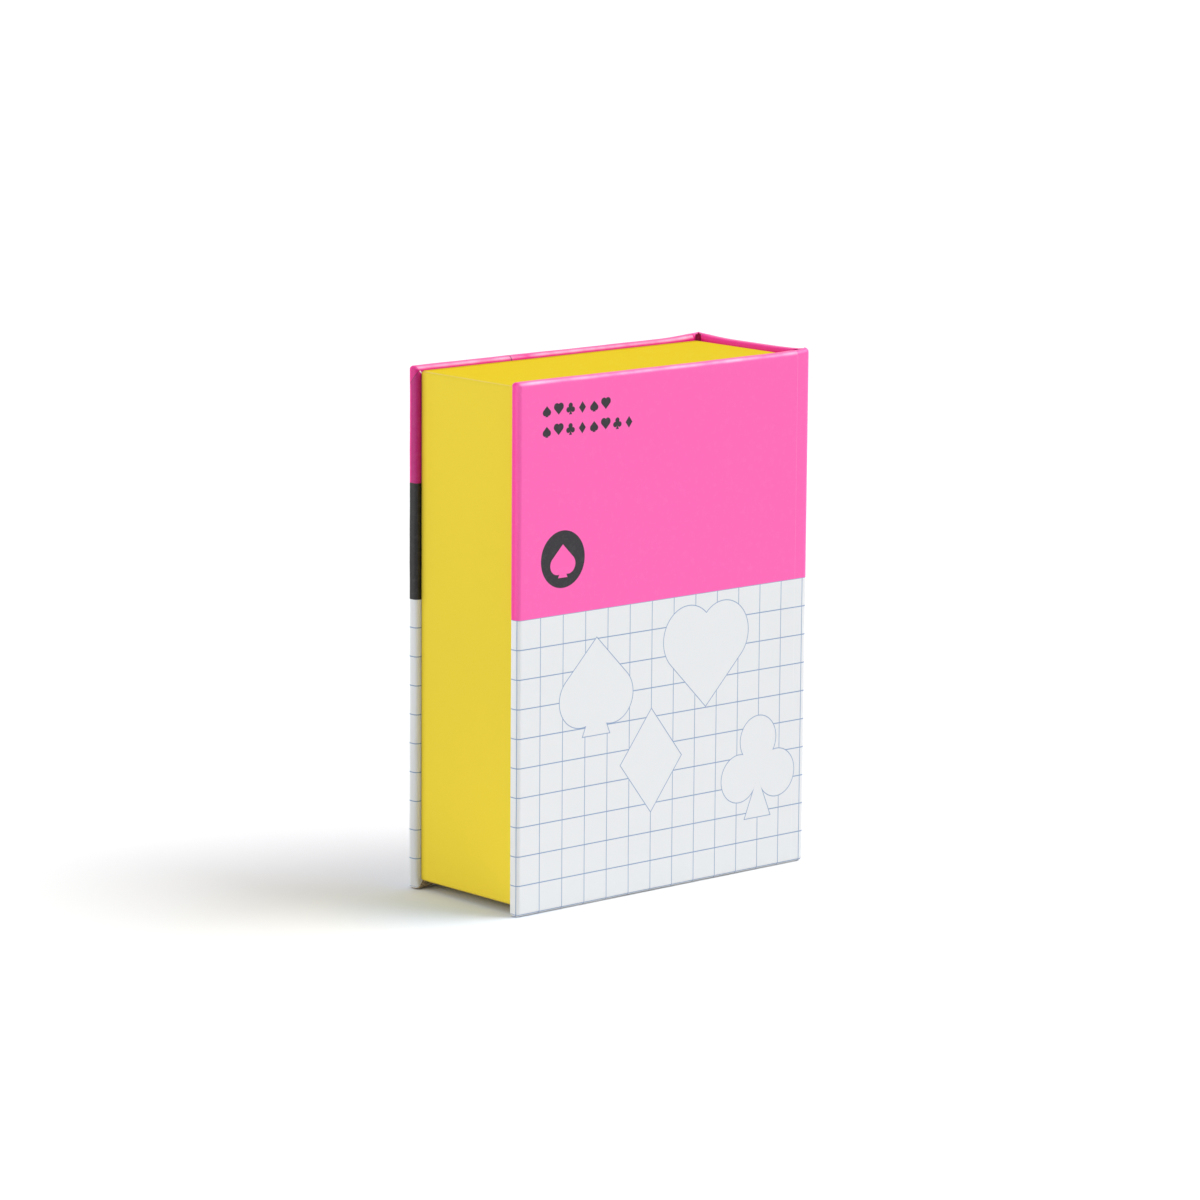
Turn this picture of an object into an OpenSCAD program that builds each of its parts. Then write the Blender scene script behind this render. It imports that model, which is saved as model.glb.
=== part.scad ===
// Deck of playing cards in a book-style rigid box, in millimetres.
// A hinged case of three paper-covered boards carries a paper-covered tray inside its back cover.
// The box stands on its tail edges, with the origin under its middle. X runs from the fore-edge
// to the spine, Y from the front cover to the back cover and Z from tail to head.

/* [Cards] */
// Width of a card
card_w = 63.5; // [56:0.1:70]
// Height of a card
card_h = 88.9; // [80:0.1:100]
// Thickness of a card
card_t = 0.38; // [0.28:0.01:0.5]
// Air between neighbouring cards
card_gap = 0.02; // [0.01:0.01:0.05]
// Corner radius of a card
card_corner_r = 3.2; // [2:0.1:6]
// Cards in a suit
cards_per_suit = 13; // [8:1:14]

/* [Deck in its tray] */
// Play beside the deck, on the fore-edge side and on the spine side
deck_side_gap = 0.85; // [0.4:0.05:2]
// Finger room over the head of the deck
deck_head_gap = 3.4; // [1:0.1:6]
// Air between the deck and what it rests on
deck_seat_gap = 0.05; // [0.02:0.01:0.3]
// Free depth between the deck and the tray's rim
deck_rim_gap = 3.5; // [2:0.1:3.9]

/* [Tray] */
// Board of the tray's walls
tray_wall_t = 1.4; // [1:0.1:2.5]
// Board of the tray's floor
tray_floor_t = 1.5; // [1:0.1:2.5]
// Paper that covers the tray
tray_paper_t = 0.15; // [0.1:0.01:0.25]
// Rounding of the tray's four corners
tray_corner_r = 0.5; // [0.3:0.05:0.9]

/* [Case] */
// Grey board of the covers and the spine
board_t = 2.1; // [1.2:0.1:3]
// Printed paper that covers the boards
wrap_t = 0.15; // [0.1:0.01:0.25]
// Liner sheets inside the case
liner_t = 0.12; // [0.08:0.01:0.2]
// Rounding of the covered edges
edge_r = 0.7; // [0.4:0.05:0.8]
// Rounding of the covers' corners at the fore-edge, seen from the front
cover_corner_r = 1; // [0.4:0.1:2]
// Overhang of the covers past the tray at the fore-edge
fore_square = 1.4; // [0.5:0.1:4]
// Overhang of the case past the tray at the tail
tail_square = 1.8; // [0.5:0.1:4]
// Overhang of the case past the tray at the head
head_square = 1.0; // [0.5:0.1:4]
// Paper turned in over the inner faces of the boards
turn_in = 12; // [8:0.5:20]
// Margin of turn-in that a liner leaves bare
liner_margin = 3; // [2:0.5:6]
// Slit round a liner's step and along a mitred corner
paste_gap = 0.1; // [0.05:0.01:0.2]

/* [Paper hinges] */
// Width of a hinge beyond the thickness of the panel that folds against it
hinge_groove = 1.1; // [0.6:0.1:3]
// Outer radius of a hinge's bend, round its axis
hinge_r = 1.2; // [0.8:0.1:1.6]
// Peak of the folded paper over the head edges
hinge_peak = 0.6; // [0.2:0.1:1]
// Fall of the folded paper below the head edges where it meets the boards
hinge_dip = 0.2; // [0.1:0.1:0.5]
// Slit between a hinge and the panels that it joins
hinge_slit = 0.02; // [0.01:0.01:0.05]
// Running gap between the front liner and the tray's rim
rim_gap = 0.25; // [0.15:0.05:0.6]
// Running gap between the spine liner and the tray
spine_gap = 0.25; // [0.15:0.05:0.6]

/* [Hidden] */
$fn = 48;
// Overshoot of a cut past the face that it opens
cut = 1;

// Deck and tray
suits = 4;
card_pitch = card_t + card_gap;
deck_t = suits * cards_per_suit * card_pitch - card_gap;
tray_skin_t = tray_wall_t + 2 * tray_paper_t;
wall_in = tray_paper_t + tray_wall_t;
well_w = card_w + 2 * deck_side_gap;
well_h = card_h + deck_seat_gap + deck_head_gap;
well_floor = tray_floor_t + tray_paper_t;
tray_w = well_w + 2 * tray_skin_t;
tray_h = well_h + 2 * tray_skin_t;
tray_d = well_floor + deck_seat_gap + deck_t + deck_rim_gap;

// Case
panel_t = board_t + 2 * wrap_t;
hinge_w = panel_t + hinge_groove;
hinge_t = 2 * wrap_t;
case_w = fore_square + tray_w + spine_gap + liner_t + panel_t;
case_d = 2 * (panel_t + liner_t) + rim_gap + tray_d;
case_h = tail_square + tray_h + head_square;
cover_w = case_w - hinge_w;
spine_w = case_d - 2 * hinge_w;
fore_x = -case_w / 2;
spine_x = case_w / 2;
front_y = -case_d / 2;
back_y = case_d / 2;
tray_back_y = back_y - panel_t - liner_t;

// Rectangle with its first corner at the origin and its corners rounded
module rounded(size, r) {
  translate([r, 0]) square([size.x - 2 * r, size.y]);
  translate([0, r]) square([size.x, size.y - 2 * r]);
  for (x = [r, size.x - r], y = [r, size.y - r]) translate([x, y]) circle(r);
}

// What is drawn at the tail, and the same at the head
module tail_and_head() {
  children();
  translate([0, 0, case_h]) mirror([0, 0, 1]) children();
}

// Places a cover that is drawn with its fore-edge at X = 0 and its outer face at Y = 0
module at_front() { translate([fore_x, front_y, 0]) children(); }
module at_back() { translate([fore_x, back_y, 0]) mirror([0, 1, 0]) children(); }

// Places the spine, drawn as a section with its outer face at X = 0, along its width
module along_spine() {
  translate([spine_x, front_y + hinge_w, 0]) rotate([90, 0, 180]) linear_extrude(spine_w) children();
}

// Places what is drawn on the tray's back face, with depth upwards
module in_tray() { translate([fore_x + fore_square, tray_back_y, tail_square]) rotate([90, 0, 0]) children(); }

// Cover of the given length, inset by the paper or not, rounded at fore-edge, head and tail
module cover_slab(inset, length) {
  t = panel_t - 2 * inset;
  h = case_h - 2 * inset;
  r = edge_r - inset;
  corner = cover_corner_r - inset;
  translate([inset, inset, inset]) intersection() {
    linear_extrude(h) rounded([length + 2 * r, t], r);
    rotate([90, 0, 90]) linear_extrude(length - inset) rounded([t, h], r);
    translate([0, t, 0]) rotate([90, 0, 0]) linear_extrude(t) rounded([length + 2 * corner, h], corner);
  }
}

module cover_board() { cover_slab(wrap_t, cover_w); }

// Paper round a cover: outer face, three edges and the turn-ins, mitred at the fore-edge corners
module cover_wrap() {
  difference() {
    cover_slab(0, cover_w);
    cover_slab(wrap_t, cover_w + cut);
    translate([turn_in, panel_t - wrap_t, turn_in]) cube([cover_w, wrap_t + cut, case_h - 2 * turn_in]);
    tail_and_head() translate([edge_r, panel_t - wrap_t, edge_r]) rotate([0, -45, 0])
      translate([0, 0, -paste_gap / 2]) cube([(turn_in - edge_r) * sqrt(2), wrap_t + cut, paste_gap]);
  }
}

// Liner over the turn-ins, with a step down onto the bare board between them
module cover_liner() {
  step_in = turn_in + paste_gap;
  translate([liner_margin, panel_t, liner_margin])
    cube([cover_w - liner_margin, liner_t, case_h - 2 * liner_margin]);
  translate([step_in, panel_t - wrap_t, step_in])
    cube([cover_w - step_in, wrap_t + liner_t, case_h - 2 * step_in]);
}

// Section of the spine, inset by the paper or not
module spine_section(inset) {
  translate([inset, inset]) rounded([panel_t - 2 * inset, case_h - 2 * inset], edge_r - inset);
}

module spine_wrap_section() {
  difference() {
    spine_section(0);
    spine_section(wrap_t);
    translate([panel_t - wrap_t, turn_in]) square([wrap_t + cut, case_h - 2 * turn_in]);
  }
}

module spine_liner_section() {
  step_in = turn_in + paste_gap;
  translate([panel_t, liner_margin]) square([liner_t, case_h - 2 * liner_margin]);
  translate([panel_t - wrap_t, step_in]) square([wrap_t + liner_t, case_h - 2 * step_in]);
}

// Corner of the folded paper, rounded by r, with its legs along X and Y
module folded(leg, r) {
  translate([r, 0]) square([leg - r, leg]);
  translate([0, r]) square([leg, leg - r]);
  translate([r, r]) circle(r);
}

// Slope of the hinge's head edge, from the peak at the corner to the board's edge
module hinge_side(leg) {
  polygon([[0, wrap_t], [leg, wrap_t], [leg, case_h - hinge_dip], [0, case_h + hinge_peak]]);
}

// Bare paper between two panels, bent round the hinge's axis, with a peak at its head
module paper_hinge() {
  leg = hinge_w - hinge_slit;
  intersection() {
    linear_extrude(case_h + hinge_peak) difference() {
      folded(leg, hinge_r);
      translate([hinge_t, hinge_t]) folded(leg, hinge_r - hinge_t);
    }
    translate([0, leg, 0]) rotate([90, 0, 0]) linear_extrude(leg) hinge_side(leg);
    rotate([90, 0, 90]) linear_extrude(leg) hinge_side(leg);
  }
}

// Outline of the tray's boards
module tray_board_outline() {
  translate([tray_paper_t, tray_paper_t])
    rounded([tray_w - 2 * tray_paper_t, tray_h - 2 * tray_paper_t], tray_corner_r - tray_paper_t);
}

// Outline of the floor board, inside the walls
module tray_floor_outline() {
  translate([wall_in, wall_in]) square([tray_w - 2 * wall_in, tray_h - 2 * wall_in]);
}

// Long wall on the fore-edge side, with the tray's rounded corners
module tray_long_wall() {
  linear_extrude(tray_d - tray_paper_t) intersection() {
    tray_board_outline();
    square([wall_in, tray_h]);
  }
}

// Short wall at the tail, between the long walls
module tray_short_wall() {
  translate([wall_in, tray_paper_t]) cube([tray_w - 2 * wall_in, tray_wall_t, tray_d - tray_paper_t]);
}

// Thirteen cards from the given place in the deck, counted from the tray's floor
module suit(place) {
  for (i = [0 : cards_per_suit - 1])
    in_tray() translate([
      tray_skin_t + deck_side_gap,
      tray_skin_t + deck_seat_gap,
      well_floor + deck_seat_gap + (place * cards_per_suit + i) * card_pitch
    ]) linear_extrude(card_t) rounded([card_w, card_h], card_corner_r);
}

module front_board() { color("darkgray") at_front() cover_board(); }
module back_board() { color("darkgray") at_back() cover_board(); }
module spine_board() { color("darkgray") along_spine() spine_section(wrap_t); }

module front_wrap() { color("hotpink") at_front() cover_wrap(); }
module back_wrap() { color("hotpink") at_back() cover_wrap(); }
module spine_wrap() { color("hotpink") along_spine() spine_wrap_section(); }

module front_hinge() { color("hotpink") translate([spine_x, front_y, 0]) mirror([1, 0, 0]) paper_hinge(); }
module back_hinge() { color("hotpink") translate([spine_x, back_y, 0]) rotate([0, 0, 180]) paper_hinge(); }

module front_liner() { color("whitesmoke") at_front() cover_liner(); }
module back_liner() { color("whitesmoke") at_back() cover_liner(); }
module spine_liner() { color("whitesmoke") along_spine() spine_liner_section(); }

module tray_floor() { color("darkgray") in_tray() linear_extrude(tray_floor_t) tray_floor_outline(); }
module tray_fore_wall() { color("darkgray") in_tray() tray_long_wall(); }
module tray_spine_wall() { color("darkgray") in_tray() translate([tray_w, 0, 0]) mirror([1, 0, 0]) tray_long_wall(); }
module tray_tail_wall() { color("darkgray") in_tray() tray_short_wall(); }
module tray_head_wall() { color("darkgray") in_tray() translate([0, tray_h, 0]) mirror([0, 1, 0]) tray_short_wall(); }

// Yellow paper outside the walls, over the rim and down to the floor
module tray_wrap() {
  color("gold") in_tray() difference() {
    linear_extrude(tray_d) rounded([tray_w, tray_h], tray_corner_r);
    translate([0, 0, -cut]) linear_extrude(tray_d - tray_paper_t + cut) difference() {
      tray_board_outline();
      tray_floor_outline();
    }
    translate([0, 0, -cut]) linear_extrude(tray_floor_t + cut) tray_floor_outline();
    translate([tray_skin_t, tray_skin_t, 0]) cube([well_w, well_h, tray_d + cut]);
  }
}

module tray_lining() {
  color("gold") in_tray() translate([tray_skin_t, tray_skin_t, tray_floor_t]) cube([well_w, well_h, tray_paper_t]);
}

module clubs() { color("white") suit(0); }
module diamonds() { color("white") suit(1); }
module hearts() { color("white") suit(2); }
module spades() { color("white") suit(3); }

front_board();
spine_board();
back_board();
front_wrap();
spine_wrap();
back_wrap();
front_hinge();
back_hinge();
front_liner();
spine_liner();
back_liner();
tray_floor();
tray_head_wall();
tray_tail_wall();
tray_fore_wall();
tray_spine_wall();
tray_wrap();
tray_lining();
clubs();
diamonds();
hearts();
spades();
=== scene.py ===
# %% [markdown]
# # A deck of cards in a box that opens like a book
#
# The box is a bookbinder's job: three grey boards are covered with one printed sheet, which is folded over
# their edges and pasted down inside. Where two boards meet the sheet has nothing behind it, so it bends
# there and works as a hinge. A yellow tray is glued to the back cover and holds the cards.
#
# The CAD model gives every piece its size and place. It is loaded first and is never moved. This lesson
# lays paper over it, prints the paper and lights the box.

# %% Load the frame
import math
from functools import reduce

import bmesh
import bpy
import numpy as np
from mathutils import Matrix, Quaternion, Vector


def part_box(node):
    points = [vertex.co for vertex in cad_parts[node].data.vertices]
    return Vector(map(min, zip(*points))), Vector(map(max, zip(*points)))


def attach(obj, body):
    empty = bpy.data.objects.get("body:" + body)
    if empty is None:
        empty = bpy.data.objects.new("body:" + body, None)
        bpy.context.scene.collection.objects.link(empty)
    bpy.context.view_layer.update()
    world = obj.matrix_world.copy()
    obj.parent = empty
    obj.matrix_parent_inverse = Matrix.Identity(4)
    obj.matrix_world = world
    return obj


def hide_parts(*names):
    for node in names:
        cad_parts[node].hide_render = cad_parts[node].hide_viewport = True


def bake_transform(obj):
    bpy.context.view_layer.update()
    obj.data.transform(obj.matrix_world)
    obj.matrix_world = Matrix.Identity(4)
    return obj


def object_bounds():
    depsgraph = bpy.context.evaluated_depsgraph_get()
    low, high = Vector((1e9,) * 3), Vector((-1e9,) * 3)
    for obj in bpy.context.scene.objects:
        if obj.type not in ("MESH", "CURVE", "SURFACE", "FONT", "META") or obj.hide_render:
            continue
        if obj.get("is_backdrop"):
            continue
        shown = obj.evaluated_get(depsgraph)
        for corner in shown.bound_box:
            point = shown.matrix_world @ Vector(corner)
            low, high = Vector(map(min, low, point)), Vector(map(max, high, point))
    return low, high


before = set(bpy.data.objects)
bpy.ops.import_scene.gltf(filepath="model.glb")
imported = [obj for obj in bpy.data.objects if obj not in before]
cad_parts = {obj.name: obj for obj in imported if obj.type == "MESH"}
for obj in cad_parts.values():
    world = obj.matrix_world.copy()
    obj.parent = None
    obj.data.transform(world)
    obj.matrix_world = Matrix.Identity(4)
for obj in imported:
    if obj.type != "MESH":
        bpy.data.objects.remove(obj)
cad_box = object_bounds()

# %% [markdown]
# ## Camera
#
# A long lens stands far away, a little above the head of the box and to the left of its front cover. Its
# place was found by matching the corners of the box, so the render can be laid over the photograph. A
# quaternion points the camera and one more turns it about its own axis, because the horizon was not quite
# level.

# %% Camera
MM = 0.001
eye = Vector((-633.9, -706.9, 225.4)) * MM
azimuth, elevation, roll = np.radians((-41.767, 10.309, 0.42))
lens_mm = 154.34

forward = Vector((-math.sin(azimuth) * math.cos(elevation),
                  math.cos(azimuth) * math.cos(elevation),
                  -math.sin(elevation)))
scene = bpy.context.scene
camera = bpy.data.objects.new("camera", bpy.data.cameras.new("camera"))
camera.data.lens = lens_mm
camera.location = eye
camera.rotation_mode = "QUATERNION"
camera.rotation_quaternion = forward.to_track_quat("-Z", "Y") @ Quaternion((0, 0, 1), roll)
scene.collection.objects.link(camera)
scene.camera = camera
print("camera", round(eye.length, 3), "m from the box")

# %% [markdown]
# ## Sky
#
# The photograph is a cut-out on white with one soft shadow, so the light is plain: a pale sky all round and
# two lamps. The sky is darker above and behind the camera, as studios are, which is why the edges that face
# the camera are the darkest. To the camera the sky and the floor show as white, so the light on the box can
# stay at a level where a colour renders about as it is written.

# %% Sky
scene.view_settings.view_transform = "Standard"
SKY_LEVEL, SKY_DARK = 0.73, 0.42
SKY_TURN = 0.10, 0.95
darkest = (Vector((0, 0, 0.5)) - forward).normalized()


def light_path(tree):
    """The socket that is 1 for rays from the camera, and for those that a gloss or a glass sends on."""
    path = tree.nodes.new("ShaderNodeLightPath")
    seen = path.outputs["Is Camera Ray"]
    for kind in ("Is Glossy Ray", "Is Transmission Ray"):
        either = tree.nodes.new("ShaderNodeMath")
        either.operation = "MAXIMUM"
        tree.links.new(seen, either.inputs[0])
        tree.links.new(path.outputs[kind], either.inputs[1])
        seen = either.outputs[0]
    return seen


def smooth_range(tree, socket, start, end, low, high):
    """A socket that goes from low to high, softly, while another goes from start to end."""
    node = tree.nodes.new("ShaderNodeMapRange")
    node.interpolation_type = "SMOOTHSTEP"
    for name, value in (("From Min", start), ("From Max", end), ("To Min", low), ("To Max", high)):
        node.inputs[name].default_value = value
    tree.links.new(socket, node.inputs["Value"])
    return node.outputs["Result"]


world = bpy.data.worlds.new("studio")
world.use_nodes = True
scene.world = world
sky_tree = world.node_tree
sky = sky_tree.nodes["Background"]
sky.inputs["Color"].default_value = (1, 1, 1, 1)
where = sky_tree.nodes.new("ShaderNodeTexCoord").outputs["Generated"]
facing = sky_tree.nodes.new("ShaderNodeVectorMath")
facing.operation = "DOT_PRODUCT"
facing.inputs[1].default_value = darkest
sky_tree.links.new(where, facing.inputs[0])
level = sky_tree.nodes.new("ShaderNodeMapRange")
darker = smooth_range(sky_tree, facing.outputs["Value"], *SKY_TURN, SKY_LEVEL, SKY_DARK)
sky_tree.links.new(darker, level.inputs["To Min"])
sky_tree.links.new(light_path(sky_tree), level.inputs["Value"])
sky_tree.links.new(level.outputs[0], sky.inputs["Strength"])
print("sky from", SKY_LEVEL, "down to", SKY_DARK)

# %% [markdown]
# ## Lamps
#
# The key is a sun lamp, which has a direction but no place. A wide angle makes it soft, and it throws the
# shadow to the left. The fill is a square panel, low behind on the left, that lifts the tray's side.

# %% Key and fill
KEY_FROM, KEY_LEVEL, KEY_ANGLE = (0.62, -0.47, 0.88), 2.25, 44
FILL_FROM, FILL_LEVEL = (-0.88, 0.36, 0.14), 2.6
FILL_AWAY, FILL_SIZE = 0.8, 0.7
BOX_MIDDLE = Vector((0, 0, 0.05))


def lamp(name, kind, towards, energy, distance=1.0):
    """A lamp that shines on the box from the given direction."""
    data = bpy.data.lights.new(name, kind)
    data.energy = energy
    made = bpy.data.objects.new(name, data)
    direction = Vector(towards).normalized()
    made.location = BOX_MIDDLE + direction * distance
    made.rotation_mode = "QUATERNION"
    made.rotation_quaternion = direction.to_track_quat("Z", "Y")
    scene.collection.objects.link(made)
    return made


key = lamp("key", "SUN", KEY_FROM, KEY_LEVEL)
key.data.angle = math.radians(KEY_ANGLE)
fill = lamp("fill", "AREA", FILL_FROM, FILL_LEVEL, FILL_AWAY)
fill.data.size = FILL_SIZE

# %% [markdown]
# ## Floor
#
# The floor's colour depends on who looks: the camera sees clean white paper that keeps the shadow, and the
# box sees a greyer sheet, so that less light comes back up from below. Close to the tray the camera's floor
# is a shade cooler, which takes back some of the yellow light that the tray throws on it.

# %% Floor
FLOOR_HALF = 4.0
FLOOR_GREY = (0.78, 0.78, 0.78, 1)
FLOOR_WHITE = (0.95, 0.955, 0.96, 1)
FLOOR_COOL = (0.78, 0.86, 1, 1)
COOL_AT, COOL_REACH = (-0.042, -0.003, 0), 0.030


def own_place(tree):
    """The socket with a point's place in the object's own coordinates, in metres."""
    return tree.nodes.new("ShaderNodeTexCoord").outputs["Object"]


def mixed(tree, amount, under, over):
    """A socket with one colour laid over another, as much as the socket called amount says."""
    node = tree.nodes.new("ShaderNodeMix")
    node.data_type = "RGBA"
    tree.links.new(amount, node.inputs[0])
    for slot, colour in ((node.inputs[6], under), (node.inputs[7], over)):
        if isinstance(colour, bpy.types.NodeSocket):
            tree.links.new(colour, slot)
        else:
            slot.default_value = colour
    return node.outputs[2]


corners = [(x * FLOOR_HALF, y * FLOOR_HALF, 0) for x, y in ((-1, -1), (1, -1), (1, 1), (-1, 1))]
floor_mesh = bpy.data.meshes.new("floor")
floor_mesh.from_pydata(corners, [], [(0, 1, 2, 3)])
floor = bpy.data.objects.new("floor", floor_mesh)
scene.collection.objects.link(floor)
floor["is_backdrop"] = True

floor_paint = bpy.data.materials.new("floor")
floor_paint.use_nodes = True
paint_tree = floor_paint.node_tree
paint_tree.nodes.remove(paint_tree.nodes["Principled BSDF"])
matt = paint_tree.nodes.new("ShaderNodeBsdfDiffuse")
apart = paint_tree.nodes.new("ShaderNodeVectorMath")
apart.operation = "DISTANCE"
apart.inputs[1].default_value = COOL_AT
paint_tree.links.new(own_place(paint_tree), apart.inputs[0])
away = smooth_range(paint_tree, apart.outputs["Value"], 0, COOL_REACH, 0, 1)
shown = mixed(paint_tree, away, FLOOR_COOL, FLOOR_WHITE)
paint_tree.links.new(mixed(paint_tree, light_path(paint_tree), FLOOR_GREY, shown), matt.inputs["Color"])
paint_tree.links.new(matt.outputs[0], paint_tree.nodes["Material Output"].inputs["Surface"])
floor_mesh.materials.append(floor_paint)
print("floor", 2 * FLOOR_HALF, "m wide")

# %% [markdown]
# ## Sizes from the frame
#
# All sizes below are millimetres, read from the boxes of the CAD nodes so that they follow the model. The
# sheet's own thickness is the step between a covered board and the bare one.

# %% Sizes
def box_mm(node):
    """Lowest and highest corner of a CAD node, in millimetres."""
    low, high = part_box(node)
    return np.array(low) / MM, np.array(high) / MM


front_low, front_high = box_mm("front_wrap")
back_high = box_mm("back_wrap")[1]
spine_low, spine_high = box_mm("spine_wrap")
fore_x, front_y = front_low[0], front_low[1]
spine_x, back_y = spine_high[0], back_high[1]
case_h = front_high[2]
half_h = case_h / 2
panel_t = front_high[1] - front_low[1]
cover_w = front_high[0] - front_low[0]
spine_w = spine_high[1] - spine_low[1]
hinge_w = spine_x - front_high[0]
paper_t = box_mm("front_board")[0][0] - fore_x
print("case", np.round((spine_x - fore_x, back_y - front_y, case_h), 2), "panel", round(panel_t, 2),
      "paper", round(paper_t, 2))

# %% [markdown]
# ## From a grid of points to a mesh
#
# A sheet of paper is a surface with two directions, so each piece is a grid: one numpy array of points, row
# by row, and a second one of the same shape that says which spot of the flat printed sheet lies at each
# point. The second array becomes a UV map in millimetres, and the print follows the paper over every fold.
# A piece can be made of several grids. Points that fall together are merged, which closes the corners. A
# bevelled block would be quicker, but its UV map would have to be drawn by hand.

# %% Grid helpers
def quads(rows, columns, first, flip):
    """Corner numbers of the quads between neighbouring rows and columns of a grid."""
    number = first + np.arange(rows * columns).reshape(rows, columns)
    ring = [number[:-1, :-1], number[1:, :-1], number[1:, 1:], number[:-1, 1:]]
    return np.stack(ring[::-1] if flip else ring, axis=-1).reshape(-1, 4)


def together(*parts):
    """Arrays of single coordinates as one array of points."""
    return np.stack(np.broadcast_arrays(*parts), axis=-1)


def paper_piece(name, grids, extras=None):
    """One mesh from grids of (points, sheet places, flip). The UV map called sheet holds the places, and
    extras holds one more number for each point, by name."""
    first, faces, points, places = 0, [], [], []
    for point, place, flip in grids:
        rows, columns = point.shape[:2]
        faces.append(quads(rows, columns, first, flip))
        points.append(point.reshape(-1, 3))
        places.append(place.reshape(-1, 2))
        first += rows * columns
    mesh = bpy.data.meshes.new(name)
    mesh.from_pydata((np.concatenate(points) * MM).tolist(), [], np.concatenate(faces).tolist())
    corner = np.zeros(len(mesh.loops), np.int32)
    mesh.loops.foreach_get("vertex_index", corner)
    uv = mesh.uv_layers.new(name="sheet")
    uv.data.foreach_set("uv", np.concatenate(places)[corner].astype(np.float32).ravel())
    for key_name, values in (extras or {}).items():
        spot = mesh.attributes.new(key_name, "FLOAT", "POINT")
        spot.data.foreach_set("value", np.concatenate([v.ravel() for v in values]).astype(np.float32))
    built = bmesh.new()
    built.from_mesh(mesh)
    bmesh.ops.remove_doubles(built, verts=built.verts, dist=1e-7)
    built.to_mesh(mesh)
    built.free()
    mesh.shade_smooth()
    piece = bpy.data.objects.new(name, mesh)
    scene.collection.objects.link(piece)
    print(name, len(mesh.vertices), "points", len(mesh.polygons), "faces")
    return piece


def thicken(piece, thickness):
    """Gives a sheet its thickness, on the inner side."""
    wall = piece.modifiers.new("thickness", "SOLIDIFY")
    wall.thickness = thickness * MM
    wall.offset = -1
    return piece


print("a grid of 3 by 3 points has", len(quads(3, 3, 0, False)), "quads")

# %% [markdown]
# ## The fold over an edge
#
# Cut across a covered edge and the paper draws a hairpin: along the outer face, round the edge of the board
# and back along the inner face. Two numbers describe a point on it, how far it lies in from the edge and
# how deep below the outer face. The length of paper used so far gives the place on the flat sheet.

# %% Hairpin profile
EDGE_R = 0.85
TURN_IN = 12.0
HOLD = 0.12
quarter = np.radians(np.linspace(0, 90, 10))


def hairpin(reach, thickness=panel_t, radius=EDGE_R, turn_in=TURN_IN):
    """Inset, depth and flat place along a covered edge, and the outward direction as (inset, depth).
    It is a line at depth 0, a quarter circle, a short line, a quarter circle and a line at full depth."""
    outer = np.append(np.linspace(reach, radius + HOLD, 30), radius)
    inner = np.append(radius + HOLD, np.linspace(radius + 2 * HOLD, turn_in, 10))
    side = np.linspace(radius, thickness - radius, 3)[1:-1]
    inset = np.concatenate([outer[:-1], radius * (1 - np.sin(quarter)), 0 * side,
                            radius * (1 - np.cos(quarter)), inner])
    depth = np.concatenate([0 * outer[:-1], radius * (1 - np.cos(quarter)), side,
                            thickness - radius * (1 - np.sin(quarter)), 0 * inner + thickness])
    turn = np.concatenate([0 * outer[:-1], quarter, 0 * side + np.pi / 2, quarter + np.pi / 2,
                           0 * inner + np.pi])
    used = np.append(0, np.cumsum(np.hypot(np.diff(inset), np.diff(depth))))
    return inset, depth, reach - used, np.stack([-np.sin(turn), -np.cos(turn)])


print("paper round an edge", round(hairpin(10)[2][0] - hairpin(10)[2][-1], 2), "mm for 10 mm outside")

# %% [markdown]
# ## Covers
#
# The hairpin is carried round three sides of a cover: along the tail, up the fore-edge and along the head.
# Each column of the grid starts on a rectangle that lies inside the cover and steps outwards from it. At
# the corners the direction swings round in a small arc. Inside, the columns of a corner fall on one line,
# which is the mitre where the turn-ins meet.
#
# Real covered edges are never ruler straight. A few slow waves push the edge in and out by less than a
# tenth of a millimetre, enough to make its highlight wander. One corner of the back cover has had a knock,
# and the paper inside it is puckered.
#
# Each point carries three marks for the print: how far it is from the cut of a mitre, how much painted
# shade it gets from how deep it lies in a fold, and how much painted highlight lies on it.

# %% Cover grid
CORNER_R = 0.7
EDGE_WAVE = 0.10
FACE_WAVE = 0.03
CALM = 8.0
# How much painted shade the head's folds get.
HEAD_FOLD_SHADE = 0.5
CRUSH, CRUSH_R = 0.6, 1.5
LIFT_RUN, LIFT_REACH = 8.0, 3.0
NO_CUT = 9


def slow_wave(along, seed):
    """A gentle wander from -1 to 1: three sines whose lengths, in mm, share no common measure."""
    lengths, shares = np.array([61.0, 23.7, 9.1]), np.array([0.5, 0.32, 0.18])
    phase = np.array([0.7, 2.9, 5.1]) * (seed + 1)
    return sum(s * np.sin(2 * np.pi * along / l + p) for s, l, p in zip(shares, lengths, phase))


def cover_path(long_steps=90, short_steps=56, arc_steps=7):
    """Columns round a cover: shares of its width and height, and the outward angle."""
    run, climb = np.append(1, np.linspace(0.999, 0, short_steps)), np.linspace(0, 1, long_steps)
    bend = np.radians(np.linspace(90, 0, arc_steps + 2))[1:-1]
    none, flat = 0 * bend, np.pi / 2
    across = np.concatenate([run, none, 0 * climb, none, run[::-1]])
    up = np.concatenate([0 * run, none, climb, none + 1, 0 * run + 1])
    angle = np.concatenate([0 * run - flat, -bend, 0 * climb, bend[::-1], 0 * run + flat])
    return across, up, angle


def carry(offset, base, across, up, angle):
    """Distance from the fore-edge and height of a grid: a point on the rectangle inset by base, then a step
    of base less offset in the outward direction."""
    out = base - offset
    return (base + (cover_w - base) * across - out * np.cos(angle),
            base + (case_h - 2 * base) * up + out * np.sin(angle))


def fold_share(depth):
    """0 on the outer face, rising to 1 halfway through the board's thickness, and 1 from there inwards."""
    return np.minimum(1, depth / (panel_t / 2))


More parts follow.
